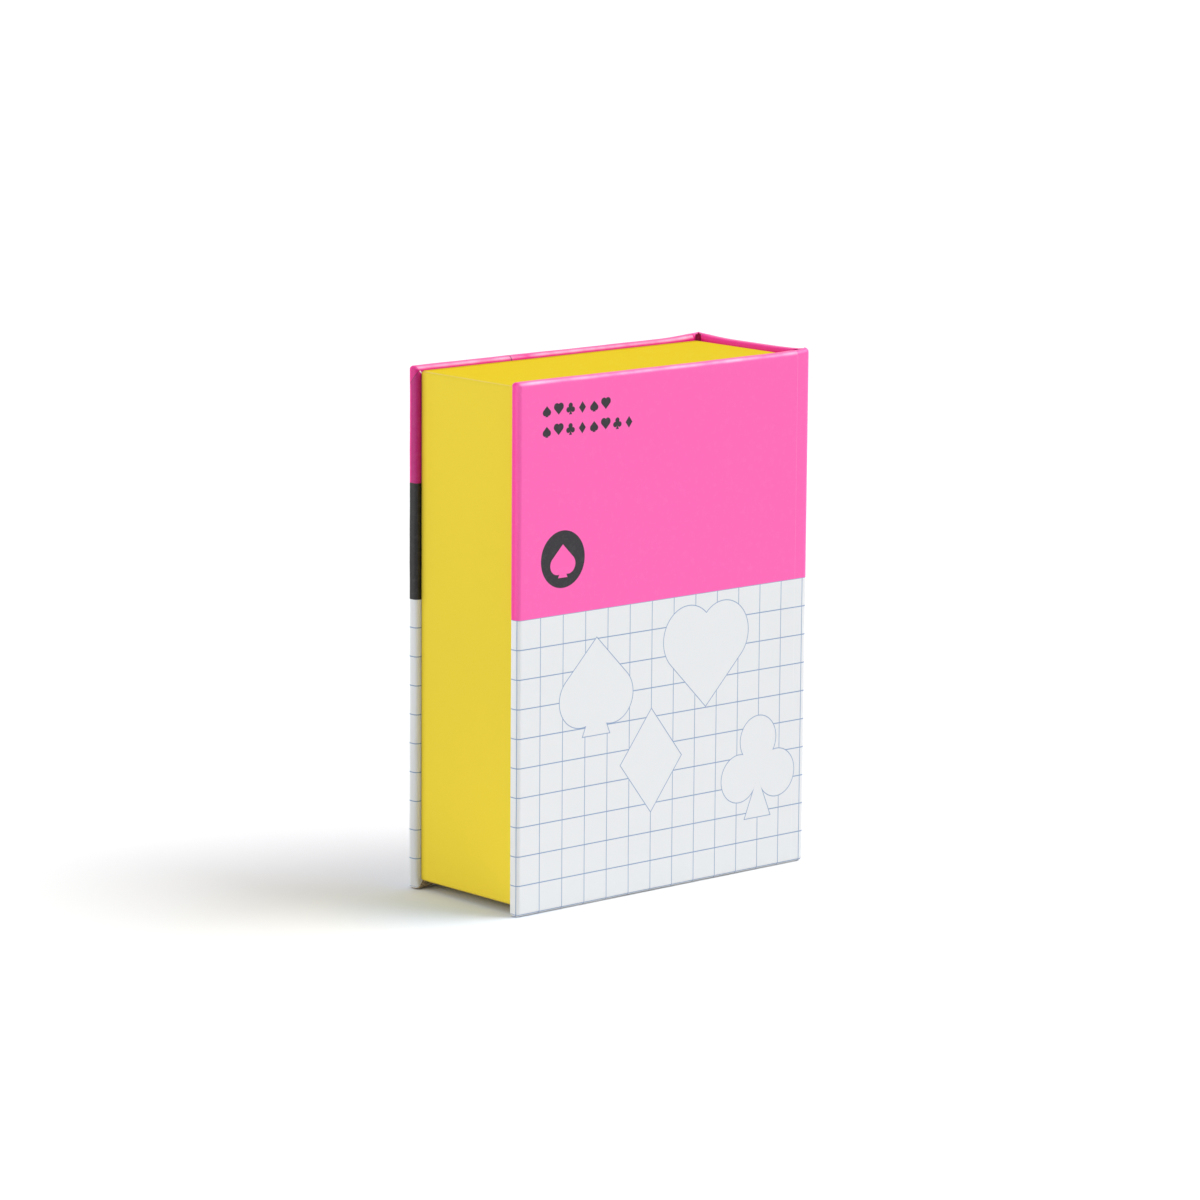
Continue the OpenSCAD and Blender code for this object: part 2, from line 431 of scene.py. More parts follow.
def joint_lift(lift, run, height):
    """How far paper stands up over the head near a joint: the lift, times a squared share that falls along
    the edge and a share that falls with depth."""
    by_run = np.clip(1 - run / LIFT_RUN, 0, 1)
    by_depth = np.clip(1 - (case_h - height) / LIFT_REACH, 0, 1)
    return lift * by_run ** 2 * by_depth


def cover_sheet(seed, deep, lift, crush):
    """Grids of one cover: distance from the fore-edge, depth and height of the paper, its place on the flat
    sheet and its marks. The pucker of a crushed corner is a bell curve on the inner side."""
    inset, depth, flat, outward = (x[..., None] for x in hairpin(half_h))
    across, up, angle = cover_path()
    along, height = carry(0, CORNER_R, across, up, angle)
    wander = slow_wave(along + 1.3 * height, seed)
    outer, inner = outward[1] < -0.99, outward[1] > 0.99
    bare = outward[1] < 0.5
    wave = EDGE_WAVE * (0.5 * wander - 0.5) * bare * np.minimum(1, (1 - across) * cover_w / CALM)
    offset = inset + outward[0] * wave
    base = np.maximum(offset, CORNER_R)
    along, height = carry(offset, base, across, up, angle)
    height = height + joint_lift(lift, cover_w - along, height)
    face = slow_wave(0.6 * along + 0.3 * height, seed + 3) * slow_wave(0.8 * height, seed + 5)
    clear = np.clip((inset - EDGE_R) / CALM, 0, 1) * np.clip((cover_w - along) / CALM, 0, 1)
    pucker = crush * np.exp(-(along ** 2 + height ** 2) / CRUSH_R ** 2) * np.maximum(outward[1], 0)
    sunk = depth + np.where(outer, FACE_WAVE * (1 + face) * clear, 0) + pucker
    place = together(*carry(flat, base, across, up, angle))
    cut = np.minimum(np.abs(along - height), np.abs(along - case_h + height)) * math.sqrt(0.5)
    at_head = np.abs(np.sin(angle))
    # Painted highlight: pale pink on the rounded head edge, where the key light's reflection falls.
    painted_highlight = (2 * outward[0] * outward[1]) ** 2 * at_head
    # Painted shade: the pink grows deeper through the fold, most of all on the back cover's fore-edge.
    fold_shade = fold_share(depth) * (deep + (HEAD_FOLD_SHADE - deep) * at_head)
    marks = {"cut": np.where(inner, cut, NO_CUT), "fold_shade": fold_shade, "painted_highlight": painted_highlight}
    return along, sunk, height, place, marks


print("cover grid", len(hairpin(half_h)[0]), "rows", len(cover_path()[0]), "columns")

# %% [markdown]
# ## The end of a board in the joint
#
# At the hinge side the board stops short of the fold, and the paper that is turned in at head and tail
# dives round the board's end. Lower down the liner does the same. Both are one small patch, drawn for the
# lower half and for the upper half, which bulges a little towards the head and so closes the slit in the
# joint.

# %% Board end patch
END_GAP = 0.10
END_BULGE = 0.80
END_ROUND = 0.7
END_DEPTH = 0.34
BULGE_REACH = 3.0
LID_DROP = 0.02
fold_length = hairpin(10)[2][0] - hairpin(10)[2][-1] - (10 - EDGE_R) - (TURN_IN - EDGE_R)


def head_inset(depth):
    """How far the rounded head edge lies in at a given depth: a quarter circle at either face."""
    near = np.clip(np.minimum(depth, panel_t - depth), 0, EDGE_R)
    return EDGE_R - np.sqrt(EDGE_R ** 2 - (EDGE_R - near) ** 2)


def board_end(upper, lift, steps=40):
    """Past the board's end, depth, height and flat place of the patch over it: a quarter ellipse from the
    inner face, then straight down to the paper of the hinge. The last column goes back to the board, as a
    lid."""
    depth = np.concatenate([panel_t - END_ROUND * (1 - np.cos(quarter)),
                            np.linspace(panel_t - END_ROUND, END_DEPTH, 6)[1:]])[:, None]
    swell = np.append(np.sin(quarter), np.ones(5))[:, None]
    share = np.append(1 - (1 - np.linspace(0, 1, steps)) ** 2, 1)
    lid = np.append(np.ones(steps), 0)
    top = half_h - head_inset(depth) - LID_DROP
    rise = top * share
    close = np.clip(1 - (half_h - rise) / BULGE_REACH, 0, 1)
    past = swell * (END_GAP + END_BULGE * close ** 1.3) * lid
    inner = half_h - EDGE_R + fold_length + half_h - rise - EDGE_R
    sign = 1 if upper else -1
    height = half_h + sign * rise
    return past, depth + 0 * rise, height + joint_lift(lift, 0, height), half_h + sign * inner


print("board end", board_end(True, 0)[0].shape, "paper round the head", round(fold_length, 2), "mm")

# %% [markdown]
# ## The whole printed sheet
#
# Laid flat, the sheet runs from the front cover's fore-edge over the front joint, the spine and the back
# joint to the back cover's fore-edge. One length measured along it serves every piece, so colours and lines
# meet across the joints.

# %% Flat sheet
HINGE_R = 1.2
# How much painted shade the folds of each cover get.
FRONT_FOLD_SHADE, BACK_FOLD_SHADE = 0.4, 1.0
FRONT_LIFT, BACK_LIFT = 0.12, 0.30
hinge_length = 2 * (hinge_w - HINGE_R) + HINGE_R * np.pi / 2
spine_start = cover_w + hinge_length
back_start = spine_start + spine_w + hinge_length
sheet_w = back_start + cover_w
FACES = (1, front_y), (-1, back_y)
print("sheet", round(sheet_w, 2), "mm wide, spine from", round(spine_start, 2), "back cover from",
      round(back_start, 2))


def cover_grids(seed, back):
    """A cover's paper and its two end patches, placed in the frame, and their marks."""
    side, face_y = FACES[back]

    def placed(along, depth, height, place, flip):
        across = np.where(back, sheet_w - place[..., 0], place[..., 0])
        points = together(fore_x + along, face_y + side * depth, height)
        return points, together(across, place[..., 1]), flip

    deep, lift = (BACK_FOLD_SHADE, BACK_LIFT) if back else (FRONT_FOLD_SHADE, FRONT_LIFT)
    along, depth, height, place, marks = cover_sheet(seed, deep, lift, CRUSH * back)
    grids = [placed(along, depth, height, place, not back)]
    extras = {name: [values] for name, values in marks.items()}
    for upper in (False, True):
        past, depth, height, flat = board_end(upper, lift)
        place = together(cover_w + past, flat)
        grids.append(placed(cover_w + past, depth, height, place, upper != back))
        # The patches in the joint get the head's painted shade.
        for name, value in (("cut", NO_CUT), ("fold_shade", HEAD_FOLD_SHADE), ("painted_highlight", 0)):
            extras[name].append(0 * past + value)
    return grids, extras


front_paper = thicken(paper_piece("front_cover_paper", *cover_grids(0, False)), paper_t)
back_paper = thicken(paper_piece("back_cover_paper", *cover_grids(7, True)), paper_t)
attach(front_paper, "front_cover")
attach(back_paper, "back_cover")
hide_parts("front_wrap")
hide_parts("back_wrap")

# %% [markdown]
# ## Spine
#
# The spine's paper is the same hairpin twice, at tail and head, drawn straight across its width. Its ends
# in the joints get the same patches as the covers.

# %% Spine paper
def spine_profile():
    """Height, depth and flat place from the tail's turn-in over the outer face to the head's turn-in."""
    inset, depth, flat, _ = hairpin(half_h)
    height = np.append(inset[:0:-1], case_h - inset)
    return height, np.append(depth[:0:-1], depth), np.append(flat[:0:-1], case_h - flat)


def spine_grids(steps=24):
    """The spine's paper, its profile carried from joint to joint, and four end patches."""
    height, depth, flat = (x[:, None] for x in spine_profile())
    share = np.concatenate([[0], np.linspace(0.003, 0.997, steps), [1]])
    across = spine_low[1] + spine_w * share
    raised = height + joint_lift(FRONT_LIFT, spine_w * share, height)
    raised = raised + joint_lift(BACK_LIFT, spine_w * (1 - share), height)
    points = together(spine_x - depth, across, raised)
    place = together(spine_start + spine_w * share, flat)
    # The spine's folds get painted shade too.
    grids, fold_shades = [(points, place, True)], [HEAD_FOLD_SHADE * fold_share(depth) + 0 * share]
    for upper in (False, True):
        for far in (False, True):
            past, depth, height, flat = board_end(upper, BACK_LIFT if far else FRONT_LIFT)
            along = (spine_high[1] + past) if far else (spine_low[1] - past)
            points = together(spine_x - depth, along, height)
            place = together(spine_start + along - spine_low[1], flat)
            grids.append((points, place, upper == far))
            fold_shades.append(0 * past + HEAD_FOLD_SHADE)
    return grids, {"fold_shade": fold_shades}


spine_paper = thicken(paper_piece("spine_paper", *spine_grids()), paper_t)
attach(spine_paper, "spine")
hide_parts("spine_wrap")

# %% [markdown]
# ## Paper hinges
#
# In a joint the sheet is folded double and pasted to itself, so it is a thin strip. It runs on from the
# cover, bends round the hinge's axis and runs on into the spine. At head and tail it rolls inwards as it
# does over the boards, and at the head, with no board to hold it down, it stands up in a little peak at the
# bend.

# %% Hinge strips
HINGE_T = 2 * paper_t
PEAK = 0.50
HINGE_FAT = 0.8
FAT_REACH = 4.0


def hinge_path(steps=31):
    """Outer line of the front joint from cover to spine: a line, a quarter circle and a line. With it come
    its outward direction, its length so far and its share from -1 to 1."""
    straight = hinge_w - HINGE_R
    length = np.linspace(0, hinge_length, steps)
    turn = np.clip((length - straight) / HINGE_R, 0, np.pi / 2)
    before, after = np.minimum(length, straight), np.clip(length - hinge_length + straight, 0, straight)
    x = before + HINGE_R * np.sin(turn)
    y = HINGE_R * (1 - np.cos(turn)) + after
    return x, y, np.stack([np.sin(turn), -np.cos(turn)]), length, 2 * length / hinge_length - 1


def hinge_half(share, upper, lift, steps=24):
    """Height, depth and flat place of half a strip: a line up its outer side, a quarter circle inwards at
    the end, a smaller one back, and a line down its inner side."""
    end = half_h + (lift + (PEAK - lift) * (1 - np.abs(share)) ** 1.5 if upper else 0 * share)
    straight = end - EDGE_R
    climb = (1 - (1 - np.linspace(0, 1, steps)) ** 2)[:-1, None]
    arc, inner_r = quarter[:, None], EDGE_R - HINGE_T
    fat = HINGE_FAT * np.abs(share)
    reach = np.clip(1 - straight * (1 - climb[::-1]) / FAT_REACH, 0, 1)
    rise = np.concatenate([climb * straight, end - EDGE_R * (1 - np.sin(arc)),
                           straight + inner_r * np.sin(arc[::-1]), (climb * straight)[::-1]])
    depth = np.concatenate([0 * climb * end, EDGE_R * (1 - np.cos(arc)) + 0 * end,
                            EDGE_R - inner_r * np.cos(arc[::-1]) + fat, HINGE_T + fat * reach ** 2])
    used = np.cumsum(np.hypot(np.diff(rise, axis=0, prepend=0), np.diff(depth, axis=0, prepend=0)), axis=0)
    sign = 1 if upper else -1
    return half_h + sign * rise, depth, half_h + sign * used


def hinge_grids(back):
    """Both halves of one strip, placed in the frame."""
    x, y, outward, length, share = hinge_path()
    side, face_y = FACES[back]
    start = sheet_w - cover_w if back else cover_w
    grids = []
    for upper in (False, True):
        height, depth, flat = hinge_half(share, upper, BACK_LIFT if back else FRONT_LIFT)
        points = together(front_high[0] + x - depth * outward[0],
                          face_y + side * (y - depth * outward[1]), height)
        place = together(start + (-length if back else length), flat)
        grids.append((points, place, upper != back))
    return grids


def hinge_strip(name, back, node):
    """A strip that bends between a cover and the spine and stands for its CAD node."""
    strip = paper_piece(name, hinge_grids(back))
    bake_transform(strip)
    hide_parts(node)
    return strip


front_strip = hinge_strip("front_hinge_paper", False, "front_hinge")
back_strip = hinge_strip("back_hinge_paper", True, "back_hinge")

# %% [markdown]
# ## Tray
#
# The tray's yellow paper goes up the outside of the walls, over the rim and down the inside. Its profile is
# an upside-down U, carried round a rectangle with tight corners. Flat sheets would be simpler, but their
# rim would look sharp, which folded paper never is.

# %% Tray paper
tray_low, tray_high = box_mm("tray_wrap")
lining_low = box_mm("tray_lining")[0]
wall_t = lining_low[0] - tray_low[0]
RIM_R = 0.3
TRAY_CORNER_R = 0.5


def tray_profile(outer_steps=16, inner_steps=12):
    """Inset from the outside of the wall and height over the tray's back: a line up, a quarter circle, the
    rim, a quarter circle and a line down to the lining."""
    depth = tray_high[1] - tray_low[1]
    rim = np.linspace(RIM_R, wall_t - RIM_R, 4)[1:-1]
    rise = np.append(np.linspace(0, depth - RIM_R - HOLD, outer_steps), depth - RIM_R)
    floor_up = tray_high[1] - lining_low[1]
    fall = np.append(depth - RIM_R, np.linspace(depth - RIM_R - HOLD, floor_up, inner_steps))
    inset = np.concatenate([0 * rise[:-1], RIM_R * (1 - np.cos(quarter)), rim,
                            wall_t - RIM_R * (1 - np.sin(quarter)), 0 * fall[1:] + wall_t])
    up = np.concatenate([rise[:-1], depth - RIM_R * (1 - np.sin(quarter)), 0 * rim + depth,
                         depth - RIM_R * (1 - np.cos(quarter)), fall[1:]])
    return inset, up


def tray_path(long_steps=60, short_steps=44, arc_steps=9):
    """Columns once round the tray: shares of its width and height, and the outward angle."""
    climb, run = np.linspace(0, 1, long_steps), np.linspace(0, 1, short_steps)
    bend = np.radians(np.linspace(0, 90, arc_steps + 2))[1:-1]
    none, right = 0 * bend, np.pi / 2
    across = np.concatenate([0 * climb, none, run, none + 1, 0 * climb + 1, none + 1, run[::-1], none, [0]])
    up = np.concatenate([climb, none + 1, 0 * run + 1, none + 1, climb[::-1], none, 0 * run, none, [0]])
    angle = np.concatenate([0 * climb, bend, 0 * run + right, bend + right, 0 * climb + 2 * right,
                            bend + 2 * right, 0 * run + 3 * right, bend + 3 * right, [4 * right]])
    return across, up, angle


def tray_grid():
    """The tray's paper: points on a rectangle inset by the corner radius, then a step outwards. With them
    come their places on the flat strip and a mark that is least on the corners."""
    inset, rise = (x[:, None] for x in tray_profile())
    across, up, angle = tray_path()
    base = np.maximum(inset, TRAY_CORNER_R)
    size = tray_high - tray_low
    out = base - inset
    x = base + (size[0] - 2 * base) * across - out * np.cos(angle)
    z = base + (size[2] - 2 * base) * up + out * np.sin(angle)
    points = together(tray_low[0] + x, tray_high[1] - rise, tray_low[2] + z)
    run = np.append(0, np.cumsum(np.hypot(np.diff(x[0]), np.diff(z[0]))))
    climb = np.append(0, np.cumsum(np.hypot(np.diff(inset[:, 0]), np.diff(rise[:, 0]))))
    place = together(run, climb[:, None])
    corner = np.maximum(np.minimum(x, size[0] - x), np.minimum(z, size[2] - z))
    return points, place, corner


tray_points, tray_place, tray_corner = tray_grid()
tray_paper = paper_piece("tray_paper", [(tray_points, tray_place, True)], {"corner": [tray_corner]})
thicken(tray_paper, paper_t)
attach(tray_paper, "back_cover")
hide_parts("tray_wrap")

# %% [markdown]
# ## Fields
#
# A procedural print is arithmetic on coordinates. A field here is one number that varies over the surface,
# and adding or comparing fields adds Math nodes to the material. The most useful field is a distance: where
# the distance to a line is small there is ink, and elsewhere there is paper. A picture would be simpler to
# place, but it blurs from close by.

# %% Field helper
class Field:
    """A number that varies over a surface. Arithmetic on it adds Math nodes to its material."""

    def __init__(self, tree, socket):
        self.tree, self.socket = tree, socket

    def math(self, operation, *others):
        """One Math node on this field and up to two more fields or numbers."""
        node = self.tree.nodes.new("ShaderNodeMath")
        node.operation = operation
        for slot, value in zip(node.inputs, (self, *others)):
            if isinstance(value, Field):
                self.tree.links.new(value.socket, slot)
            else:
                slot.default_value = value
        return Field(self.tree, node.outputs[0])

    def __add__(self, other):
        return self.math("ADD", other)

    def __sub__(self, other):
        return self.math("SUBTRACT", other)

    def __mul__(self, other):
        return self.math("MULTIPLY", other)

    def least(self, other):
        return self.math("MINIMUM", other)

    def most(self, other):
        return self.math("MAXIMUM", other)

    def size(self):
        return self.math("ABSOLUTE")

    def to_nearest(self, pitch):
        """Distance to the nearest of lines that stand a pitch apart."""
        return self.math("PINGPONG", pitch / 2)

    def repeat(self, period):
        """The same stretch over and over, from minus half a period to half a period."""
        return (self + period / 2).math("FLOORED_MODULO", period) - period / 2

    def length(self, other):
        """How far a point is from the origin of two fields."""
        return (self * self + other * other).math("SQRT")

    def below(self, edge, soft=0.04):
        """1 where the field is below an edge and 0 above it, with a soft border."""
        return Field(self.tree, smooth_range(self.tree, self.socket, edge - soft, edge + soft, 1, 0))


def new_material(name):
    """An empty material, its node tree and its shader."""
    material = bpy.data.materials.new(name)
    material.use_nodes = True
    return material, material.node_tree, material.node_tree.nodes["Principled BSDF"]


def linear(*srgb):
    """A colour written as on a screen, 0 to 255, in the linear light that shaders use."""
    share = np.array(srgb) / 255
    return (*np.where(share < 0.04045, share / 12.92, ((share + 0.055) / 1.055) ** 2.4), 1.0)


def lay(tree, amount, under, over):
    """A colour laid over another, as much as a field says."""
    return mixed(tree, amount.socket, under, over)


def axes(tree, socket):
    """The three parts of a vector, as fields."""
    split = tree.nodes.new("ShaderNodeSeparateXYZ")
    tree.links.new(socket, split.inputs[0])
    return [Field(tree, output) for output in split.outputs]


def grain(tree, size_mm, detail=2.0):
    """Noise from 0 to 1 on the object's own coordinates, with blotches of about the given size."""
    noise = tree.nodes.new("ShaderNodeTexNoise")
    noise.inputs["Scale"].default_value = 1 / (size_mm * MM)
    noise.inputs["Detail"].default_value = detail
    tree.links.new(own_place(tree), noise.inputs["Vector"])
    return Field(tree, noise.outputs["Fac"])


def mark(tree, name):
    """The number that a piece carries at each of its points under the given name."""
    node = tree.nodes.new("ShaderNodeAttribute")
    node.attribute_name = name
    return Field(tree, node.outputs["Fac"])


def emboss(tree, shader, height, depth_mm, strength):
    """Bump on a shader from a field of heights."""
    bump = tree.nodes.new("ShaderNodeBump")
    bump.inputs["Strength"].default_value = strength
    bump.inputs["Distance"].default_value = depth_mm * MM
    tree.links.new(height.socket, bump.inputs["Height"])
    tree.links.new(bump.outputs["Normal"], shader.inputs["Normal"])


print("fields ready")

# %% [markdown]
# ## Suit pips
#
# The four suits are built from circles and straight edges. Each is a signed distance, below zero inside:
# the union of two shapes is the smaller distance. Traced outlines could be finer, but formulas scale and
# need no picture.

# %% Pip fields
def heart(x, y, tall):
    """Distance to a heart of the given height: a square on its corner and two discs on its upper sides. Its
    height and the square's middle are shares of a disc's radius."""
    heart_tall, middle, slant = 3.12, 0.146, math.sqrt(0.5)
    r = tall / heart_tall
    side = x.size()
    square = (side + (y - middle * r).size()) * slant - r
    disc = (side - r * slant).length(y - (middle + slant) * r) - r
    return square.least(disc)


def foot(x, y, tall):
    """Distance to the foot of a spade or club, which widens downwards."""
    slope = (x.size() + y * 0.42) * 0.92 + 0.035 * tall
    return slope.most(y + 0.02 * tall).most(y * -1 - 0.5 * tall)


def spade(x, y, tall):
    """Distance to a spade: a heart on its head, and a foot."""
    return heart(x, (y - 0.09 * tall) * -1, 0.84 * tall).least(foot(x, y, tall))


def club(x, y, tall):
    """Distance to a club: three discs, a smaller one between them and a foot."""
    r = 0.235 * tall
    top = x.length(y - 0.265 * tall) - r
    low = (x.size() - 0.245 * tall).length(y + 0.09 * tall) - r
    middle = x.length(y + 0.03 * tall) - 0.13 * tall
    return top.least(low).least(middle).least(foot(x, y, tall))


def diamond(x, y, tall):
    """Distance to a diamond, a rhombus taller than wide."""
    wide = 0.78
    return (x.size() * (1 / wide) + y.size() - tall / 2) * (wide / math.hypot(1, wide))


SUITS = (spade, heart, club, diamond)
print("suits", [s.__name__ for s in SUITS])

# %% [markdown]
# ## Inks and layout
#
# The sheet is white with a fine blue grid below and pink above, and the back cover has a black band
# between. Places are in millimetres on the flat sheet, from the front cover's fore-edge and the tail.

# %% Inks and layout
PINK = linear(255, 102, 183)
# These two pinks are painted shade for the folds.
SHADE_PINK = linear(242, 24, 146)
DEEP_SHADE_PINK = linear(188, 0, 118)
# A painted highlight for the rounded head edges.
HIGHLIGHT_PINK = linear(255, 200, 230)
PAPER = linear(231, 234, 236)
LINE_BLUE = linear(132, 158, 194)
DARK = linear(44, 42, 47)
BAND = linear(16, 16, 18)
LINER = linear(238, 234, 226)
GRID_PITCH, ROW_PITCH = 5.48, 5.475
GRID_START = 5.44
BACK_SHIFT = 0.22
ROW_LINE, UPRIGHT_LINE = 0.19, 0.15
PINK_FROM = 55.2
BAND_FROM, BAND_TO = 55.0, 76.8
RULE_IN = 23.1
BIG_PIPS = ((spade, 2.5, 7.5), (heart, 7.5, 7.5), (diamond, 5.0, 4.5), (club, 10.0, 3.6))
BIG_TALL, GRID_ROWS = 3.6, 10
DISC_U, DISC_V, DISC_R = 10.75, 65.4, 5.3
DISC_SPADE, SPADE_DROP = 6.6, 0.1
PIP_PITCH, PIP_TALL, FIRST_PIP = 2.85, 2.15, 6.7
ROWS_AT, ROWS_APART = 89.15, 3.75
LOWER_PIPS, UPPER_PIPS = 8, 6
print("pink from", PINK_FROM, "mm, band to", BAND_TO, "mm, big pips", len(BIG_PIPS))

# %% [markdown]
# ## Lines and pips
#
# Four outlined pips stand on the grid and hide it. Two rows of little pips, six over eight, and a disc with
# a spade left out of it sit on the pink. The little pips repeat without end, and a box cuts the rows off.

# %% Lines and pips
def grid_ink(u, v, on_back):
    """Ink of the grid and of the big pips: near a line outside the pips, or near a pip's outline."""
    x, y = u - GRID_START, v - (PINK_FROM - GRID_ROWS * GRID_PITCH)
    mirrored = on_back * (GRID_START - sheet_w + GRID_PITCH * BACK_SHIFT)
    upright = (x + mirrored).to_nearest(GRID_PITCH)
    row_lines = (v - PINK_FROM).to_nearest(ROW_PITCH)
    lines = (upright - UPRIGHT_LINE / 2).least(row_lines - ROW_LINE / 2)
    pips = [suit(x - column * GRID_PITCH, y - row * GRID_PITCH, BIG_TALL * GRID_PITCH)
            for suit, column, row in BIG_PIPS]
    shape = reduce(Field.least, pips)
    outside = (shape * -1).below(0)
    return (lines.below(0) * outside).most(shape.size().below(UPRIGHT_LINE / 2))


def dark_print(u, v):
    """Distance to the dark print: the disc without its spade, the rows of little pips and the rule."""
    disc = (u - DISC_U).length(v - DISC_V) - DISC_R
    disc = disc.most(spade(u - DISC_U, v - (DISC_V - SPADE_DROP), DISC_SPADE) * -1)
    row = (v - ROWS_AT).repeat(ROWS_APART)
    period = len(SUITS) * PIP_PITCH
    pips = reduce(Field.least, [suit((u - FIRST_PIP - place * PIP_PITCH).repeat(period), row, PIP_TALL)
                                for place, suit in enumerate(SUITS)])
    past_lower, past_upper, past_none = (u - (FIRST_PIP + (count - 0.5) * PIP_PITCH)
                                         for count in (LOWER_PIPS, UPPER_PIPS, 0))
    over_middle = v - ROWS_AT - ROWS_APART / 2
    box = (over_middle.size() - ROWS_APART).most(past_none * -1).most(past_lower)
    box = box.most(past_upper.least(over_middle))
    rule = (u - (sheet_w - RULE_IN)).size() - ROW_LINE / 2
    rule = rule.most((v - BAND_TO) * -1)
    return disc.least(pips.most(box)).least(rule)


print("little pips", UPPER_PIPS + LOWER_PIPS)

# %% [markdown]
# ## Painted shade, painted highlight and wear
#
# The pink is painted deeper on the folds as shade, and a pale highlight is painted along the rounded head.
# At the far head corner the paper is tucked under, and the tucked facet and its crease are painted darker
# as shade. The back cover's fore-edge gets the most painted shade, the mitres show the paper's white core,
# and the knocked corner is painted tan for its worn fibre and for the yellow light that the tray bounces on
# it. Such marks could be painted by hand, but marks on the mesh stay on the folds when a size changes.

# %% Painted shade, painted highlight and wear
CORE = linear(250, 240, 240)
WORN_AND_BOUNCE_TAN = linear(205, 184, 148)
DUST = linear(96, 84, 70)
FORE_EDGE_SHADE = linear(40, 32, 24)
CREASE_U, CREASE_V = 0.4, -3.2
CREASE_ACROSS, CREASE_UP = 0.765, 0.647
TUCK, CREASE_LINE = 0.6, 0.07
FORE_EDGE_SHADE_SHARE, CUT_LINE = 0.16, 0.10
WORN_BOUNCE_U, WORN_BOUNCE_V, WORN_BOUNCE_R = -0.5, -2.2, 1.7


def pink_with_painted_light(tree, u, v):
    """The pink with painted light: painted shade that deepens through the fold, a painted highlight on the
    head edge, and painted shade on a tucked corner and its crease.
    """
    fold_shade = mark(tree, "fold_shade")
    pink = lay(tree, fold_shade * 2 - 1, lay(tree, fold_shade * 2, PINK, SHADE_PINK), DEEP_SHADE_PINK)
    pink = lay(tree, mark(tree, "painted_highlight") * (grain(tree, 7.0, 3) * 2.2 - 0.6), pink, HIGHLIGHT_PINK)
    # Painted shade: past the crease the tucked facet is a darker pink, and the crease itself is a dark
    # line.
    crease = (u - (sheet_w + CREASE_U)) * CREASE_ACROSS - (v - (case_h + CREASE_V)) * CREASE_UP
    on_edge = (u * -1).below(-sheet_w - 0.3, 0.2)
    pink = lay(tree, crease.below(0) * on_edge * TUCK, pink, SHADE_PINK)
    return lay(tree, crease.size().below(CREASE_LINE) * on_edge * TUCK, pink, DARK)


def shade_and_wear(tree, colour, u, v, on_cover):
    """The sheet's colour with painted shade on the deepest fold, bare mitres, and a ragged tan spot on one
    corner that is worn fibre and painted bounce light.
    """
    # Painted shade: the back cover's fore-edge, the deepest fold, is darkened.
    colour = lay(tree, (mark(tree, "fold_shade") * -1).below(-0.75, 0.25) * FORE_EDGE_SHADE_SHARE, colour, FORE_EDGE_SHADE)
    colour = lay(tree, mark(tree, "cut").below(CUT_LINE, 0.05) * on_cover, colour, CORE)
    # Painted light and wear: the knocked corner's worn fibre is painted tan, as the tray's bounced yellow
    # light and its shade would tint it, with darker veins.
    worn_and_bounce_reach = ((u - (sheet_w + WORN_BOUNCE_U)) * 0.5).length((v - WORN_BOUNCE_V) * 0.7)
    worn_and_bounce_spot = (worn_and_bounce_reach + (grain(tree, 0.8, 3) - 0.5) * 3).below(WORN_BOUNCE_R, 0.4)
    colour = lay(tree, worn_and_bounce_spot, colour, WORN_AND_BOUNCE_TAN)
    veins = (grain(tree, 0.5, 3) - 0.5).size().below(0.03, 0.03)
    return lay(tree, worn_and_bounce_spot * veins, colour, DUST)


print("worn_and_bounce_reach", WORN_BOUNCE_R, "mm, crease", CREASE_LINE, "mm")

# %% [markdown]
# ## Printed sheet
#
# The layers go on in order: grid, band, pink with painted shade and highlight, dark print, the liner's
# white past the turn-ins, and wear with painted shade and painted bounce light.
# The paper has a satin film over the ink, so its gloss is even, and its fibres show as the faintest relief.

# %% Printed sheet material
WHITE = linear(255, 255, 255)


def printed_sheet():
    """The material of the whole printed sheet, drawn in the sheet's own millimetres."""
    material, tree, shader = new_material("printed_sheet")
    uv = tree.nodes.new("ShaderNodeUVMap")
    uv.uv_map = "sheet"
    u, v, _ = axes(tree, uv.outputs["UV"])

    on_back = (u * -1).below(-back_start)
    on_cover = on_back.most(u.below(cover_w))
    over_pink = v - PINK_FROM - on_back * (BAND_TO - PINK_FROM)
    past_turn_in = (v - half_h).size() - (half_h - EDGE_R + fold_length + TURN_IN - EDGE_R)
    colour = lay(tree, grid_ink(u, v, on_back), PAPER, LINE_BLUE)
    colour = lay(tree, (v * -1).below(-BAND_FROM) * on_back, colour, BAND)
    colour = lay(tree, (over_pink * -1).below(0), colour, pink_with_painted_light(tree, u, v))
    colour = lay(tree, dark_print(u, v).below(0), colour, DARK)
    colour = lay(tree, (past_turn_in * -1).below(0), colour, LINER)
    # Painted shade, painted bounce light and wear.
    colour = shade_and_wear(tree, colour, u, v, on_cover)

    mottle = grain(tree, 1.6, 4) * 0.6 + grain(tree, 0.35) * 0.4
    colour = lay(tree, (mottle - 0.5).size() * 0.09, colour, WHITE)
    tree.links.new(colour, shader.inputs["Base Color"])
    rough = grain(tree, 0.5, 3) * 0.08 + 0.30
    tree.links.new(rough.socket, shader.inputs["Roughness"])
    shader.inputs["Specular IOR Level"].default_value = 0.28
    emboss(tree, shader, mottle, 0.03, 0.35)
    return material


sheet_material = printed_sheet()
for piece in (front_paper, back_paper, spine_paper, front_strip, back_strip):
    piece.data.materials.append(sheet_material)
print("printed sheet", len(sheet_material.node_tree.nodes), "nodes")

